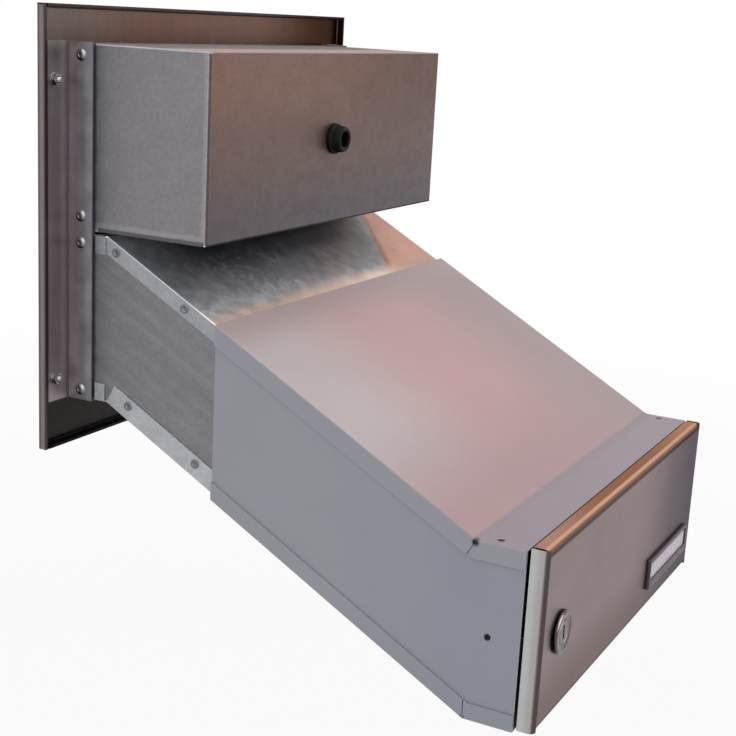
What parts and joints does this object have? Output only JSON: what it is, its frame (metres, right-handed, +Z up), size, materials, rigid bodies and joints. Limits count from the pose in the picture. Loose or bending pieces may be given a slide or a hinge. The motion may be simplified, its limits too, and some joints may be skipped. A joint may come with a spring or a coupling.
{
  "type": "through-wall mailbox",
  "caption": "Through-wall mailbox: street panel with letter slot and intercom box, sloping duct, telescoping sleeve and lockable rear door.",
  "frame": {"origin": "middle of the street panel's rear rim, in the plane that lies on the wall", "axes": "+Z up, +Y towards the street, -Y into the building, +X to the right when the door is seen"},
  "size_m": [0.3, 0.2812, 0.3172],
  "materials": {
    "stainless": "brushed",
    "galvanised_sheet": "spangled zinc",
    "powder_coat": "smooth satin",
    "aluminium_angle": "mill finish",
    "aluminium_rivet": "satin",
    "zinc_fastener": "bright zinc",
    "spring_steel": "bright",
    "black_steel": "black oxide",
    "lock_chrome": "satin chrome",
    "black_rubber": "matt",
    "black_plastic": "matt",
    "dark_frame": "satin",
    "white_card": "matt",
    "clear_cover": "clear"
  },
  "bodies": {
    "panel_box_and_duct": {"street_panel": "stainless", "panel_studs": "zinc_fastener", "stud_washers": "zinc_fastener", "stud_nuts": "zinc_fastener", "left_angle": "aluminium_angle", "right_angle": "aluminium_angle", "angle_rivets": "aluminium_rivet", "box_shell": "galvanised_sheet", "box_top_sheet": "galvanised_sheet", "box_base_sheet": "galvanised_sheet", "cable_grommet": "black_rubber", "duct_top_sheet": "galvanised_sheet", "duct_bottom_sheet": "galvanised_sheet", "duct_left_side": "galvanised_sheet", "duct_right_side": "galvanised_sheet", "duct_rivets": "aluminium_rivet", "flap_brackets": "galvanised_sheet", "flap_rod": "zinc_fastener", "flap_spring": "spring_steel", "button_housing": "stainless", "button_spring": "spring_steel", "button_nut": "zinc_fastener", "contact_block": "black_plastic"},
    "sleeve": {"sleeve_top_sheet": "powder_coat", "sleeve_bottom_sheet": "powder_coat", "sleeve_left_side": "powder_coat", "sleeve_right_side": "powder_coat", "lock_catch": "zinc_fastener", "catch_screw": "black_steel", "hinge_pin": "black_steel", "hinge_spacers": "black_plastic", "hinge_clips": "spring_steel"},
    "door": {"door_pan": "stainless", "door_hinge_arms": "zinc_fastener", "lock_body": "lock_chrome", "lock_nut": "zinc_fastener", "nameplate_frame": "dark_frame", "nameplate_insert": "white_card", "nameplate_window": "clear_cover"},
    "lock_cam_set": {"lock_plug": "lock_chrome", "lock_cam": "zinc_fastener", "cam_screw": "zinc_fastener"},
    "letter_flap": {"letter_flap": "stainless"},
    "call_button": {"call_button": "stainless"}
  },
  "joints": [
    {"name": "sleeve_slide", "type": "slide", "parent": "panel_box_and_duct", "child": "sleeve", "axis": [0, -0.8788, -0.4772], "range_m": [-0.06, 0.055]},
    {"name": "door_swing", "type": "hinge", "parent": "sleeve", "child": "door", "pos_m": [0.1255, -0.245, -0.15875], "axis": [0, 0, 1], "range_deg": [0, 90]},
    {"name": "lock_turn", "type": "hinge", "parent": "door", "child": "lock_cam_set", "pos_m": [-0.105, -0.27, -0.16095], "axis": [0, -1, 0], "range_deg": [0, 90]},
    {"name": "flap_swing", "type": "hinge", "parent": "panel_box_and_duct", "child": "letter_flap", "pos_m": [0, 0.0019, -0.013], "axis": [-1, 0, 0], "range_deg": [0, 75], "stiffness_Nm_per_rad": 0.03, "springref_deg": -28.65, "deforming": ["flap_spring"]},
    {"name": "button_push", "type": "slide", "parent": "panel_box_and_duct", "child": "call_button", "axis": [0, -1, 0], "range_m": [0, 0.0015], "stiffness_N_per_m": 1000, "springref_m": -0.0015, "deforming": ["button_spring"]}
  ]
}
